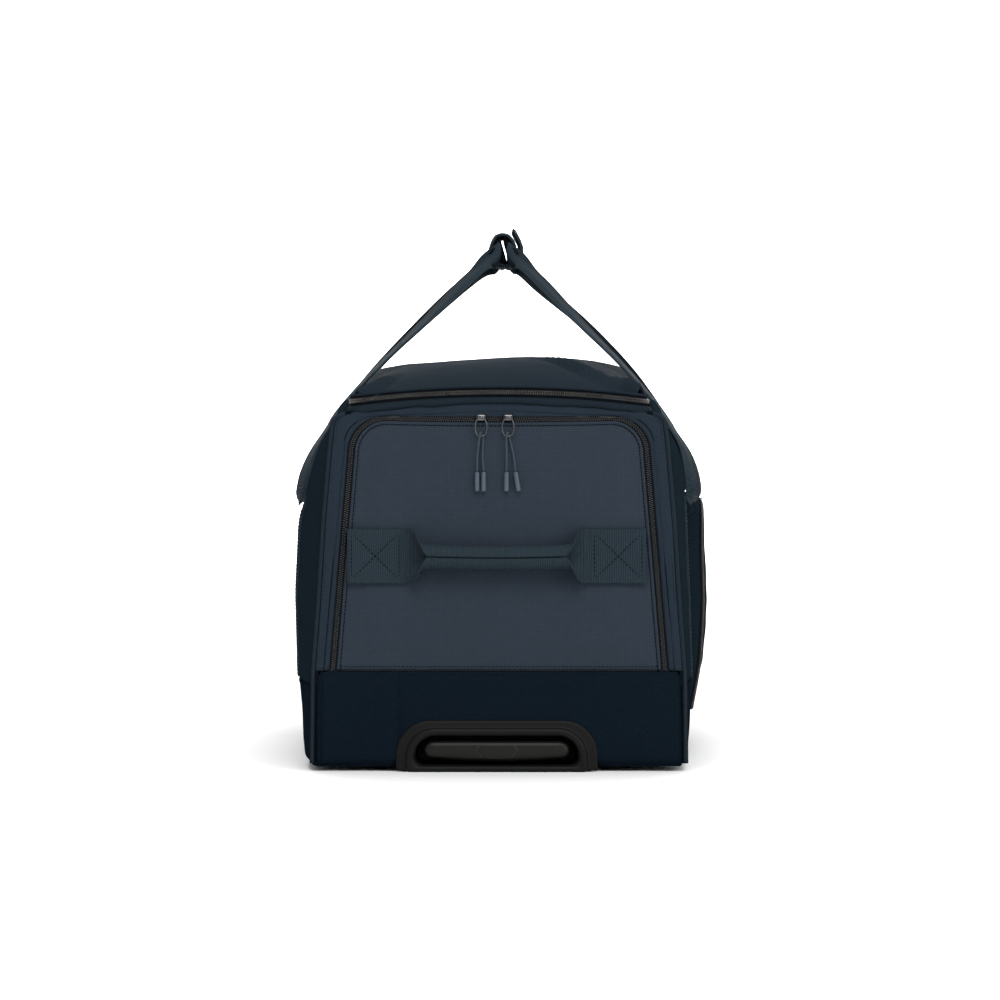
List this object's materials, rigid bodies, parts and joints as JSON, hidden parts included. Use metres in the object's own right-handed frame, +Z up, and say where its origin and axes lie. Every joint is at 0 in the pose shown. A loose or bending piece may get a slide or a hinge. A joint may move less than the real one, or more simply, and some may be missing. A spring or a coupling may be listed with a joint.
{
  "type": "rolling duffel bag",
  "caption": "Soft wheeled duffel with a two-stage pull-out handle under the floor, zipped lid, end pocket with a haul handle, side pocket and webbing carry handles joined by a wrap.",
  "frame": {"origin": "on the ground, under the centre of the bag's bounding box", "axes": "+Z up, +Y from the handle end to the wheel end, +X to the right when looking at the handle end"},
  "size_m": [0.4043, 0.7122, 0.5172],
  "materials": {
    "ripstop": "ripstop nylon with a fine square grid, matte",
    "twill": "diagonal twill polyester, matte",
    "lid_fabric": "smooth woven polyester, matte",
    "lining": "plain lining cloth, matte",
    "webbing": "ribbed webbing, matte",
    "zip": "black zip tape and coil",
    "cord": "braided cord",
    "plastic": "moulded black plastic, satin",
    "tip": "moulded soft plastic, satin",
    "gunmetal": "gunmetal plating",
    "tube": "anodised tube",
    "steel": "bright steel",
    "tyre": "moulded wheel tread",
    "board": "stiff plastic sheet"
  },
  "bodies": {
    "bag": {"base_tub": "twill", "base_board": "board", "front_border": "ripstop", "front_pocket_lining": "lining", "front_zip_outer": "zip", "rear_panel": "ripstop", "left_side_panel": "twill", "right_side_panel": "twill", "rain_lip": "lid_fabric", "lid_zip_lower": "zip", "lid_hinge_strip": "lid_fabric", "side_zip_outer": "zip", "wheel_housing_left": "plastic", "wheel_housing_right": "plastic", "axle_left": "steel", "axle_right": "steel", "trolley_housing": "plastic", "outer_tube_left": "tube", "outer_tube_right": "tube", "left_front_strap_anchor": "webbing", "left_rear_strap_anchor": "webbing", "right_front_strap_anchor": "webbing", "right_rear_strap_anchor": "webbing", "rear_haul_handle": "webbing"},
    "lid_panel": {"lid": "lid_fabric", "lid_zip_upper": "zip"},
    "lid_slider": {"lid_zip_slider": "gunmetal"},
    "pocket_flap": {"front_pocket_flap": "ripstop", "front_zip_inner": "zip", "front_haul_webbing": "webbing", "front_haul_grip": "webbing"},
    "left_slider": {"left_zip_slider": "gunmetal"},
    "left_pull": {"left_pull_ring": "gunmetal", "left_pull_cord": "cord", "left_outer_tip": "tip", "left_inner_tip": "tip"},
    "right_slider": {"right_zip_slider": "gunmetal"},
    "right_pull": {"right_pull_ring": "gunmetal", "right_pull_cord": "cord", "right_outer_tip": "tip", "right_inner_tip": "tip"},
    "side_pocket": {"side_pocket_panel": "twill", "side_zip_inner": "zip"},
    "side_slider": {"side_zip_slider": "gunmetal"},
    "left_handle": {"left_carry_strap": "webbing", "handle_wrap_left": "webbing"},
    "right_handle": {"right_carry_strap": "webbing", "handle_wrap_right": "webbing"},
    "trolley_middle": {"middle_tube_left": "tube", "middle_tube_right": "tube"},
    "trolley_grip": {"inner_tube_left": "tube", "inner_tube_right": "tube", "grip_front_shell": "plastic", "grip_rear_shell": "plastic", "button_spring": "steel"},
    "trolley_button": {"release_button": "plastic"},
    "left_wheel": {"tyre_left": "tyre", "hub_left": "plastic"},
    "right_wheel": {"tyre_right": "tyre", "hub_right": "plastic"}
  },
  "joints": [
    {"name": "lid_hinge", "type": "hinge", "parent": "bag", "child": "lid_panel", "pos_m": [0, 0.3335, 0.355], "axis": [-1, 0, 0], "range_deg": [0, 105], "deforming": ["left_carry_strap", "right_carry_strap", "handle_wrap_left", "handle_wrap_right"]},
    {"name": "lid_slider_slide", "type": "slide", "parent": "lid_panel", "child": "lid_slider", "axis": [0, 1, 0], "range_m": [-0.12, 0.12]},
    {"name": "front_pocket_hinge", "type": "hinge", "parent": "bag", "child": "pocket_flap", "pos_m": [0, -0.335, 0.0939], "axis": [1, 0, 0], "range_deg": [0, 85]},
    {"name": "left_slider_slide", "type": "slide", "parent": "pocket_flap", "child": "left_slider", "axis": [-1, 0, 0], "range_m": [0, 0.085]},
    {"name": "left_pull_swing", "type": "hinge", "parent": "left_slider", "child": "left_pull", "pos_m": [-0.0165, -0.3394, 0.3278], "axis": [-1, 0, 0], "range_deg": [0, 110]},
    {"name": "right_slider_slide", "type": "slide", "parent": "pocket_flap", "child": "right_slider", "axis": [1, 0, 0], "range_m": [0, 0.085]},
    {"name": "right_pull_swing", "type": "hinge", "parent": "right_slider", "child": "right_pull", "pos_m": [0.0085, -0.3394, 0.3278], "axis": [-1, 0, 0], "range_deg": [0, 110]},
    {"name": "side_pocket_hinge", "type": "hinge", "parent": "bag", "child": "side_pocket", "pos_m": [0.18365, 0, 0.0432], "axis": [0, 1, 0], "range_deg": [0, 60]},
    {"name": "side_slider_slide", "type": "slide", "parent": "side_pocket", "child": "side_slider", "axis": [0, 1, 0], "range_m": [-0.065, 0.065]},
    {"name": "left_handle_swing", "type": "hinge", "parent": "bag", "child": "left_handle", "pos_m": [-0.193, 0, 0.244], "axis": [0, -1, 0], "range_deg": [0, 150]},
    {"name": "right_handle_swing", "type": "hinge", "parent": "bag", "child": "right_handle", "pos_m": [0.1822, 0, 0.244], "axis": [0, 1, 0], "range_deg": [0, 150]},
    {"name": "trolley_middle_slide", "type": "slide", "parent": "bag", "child": "trolley_middle", "axis": [0, -1, 0], "range_m": [0, 0.2]},
    {"name": "trolley_grip_slide", "type": "slide", "parent": "trolley_middle", "child": "trolley_grip", "axis": [0, -1, 0], "range_m": [0, 0.2]},
    {"name": "release_button_press", "type": "slide", "parent": "trolley_grip", "child": "trolley_button", "axis": [0, 1, 0], "range_m": [0, 0.003], "stiffness_N_per_m": 400, "springref_m": -0.001, "deforming": ["button_spring"]},
    {"name": "left_wheel_spin", "type": "hinge", "parent": "bag", "child": "left_wheel", "pos_m": [-0.15, 0.318, 0.035], "axis": [1, 0, 0], "continuous": true},
    {"name": "right_wheel_spin", "type": "hinge", "parent": "bag", "child": "right_wheel", "pos_m": [0.15, 0.318, 0.035], "axis": [1, 0, 0], "continuous": true}
  ]
}
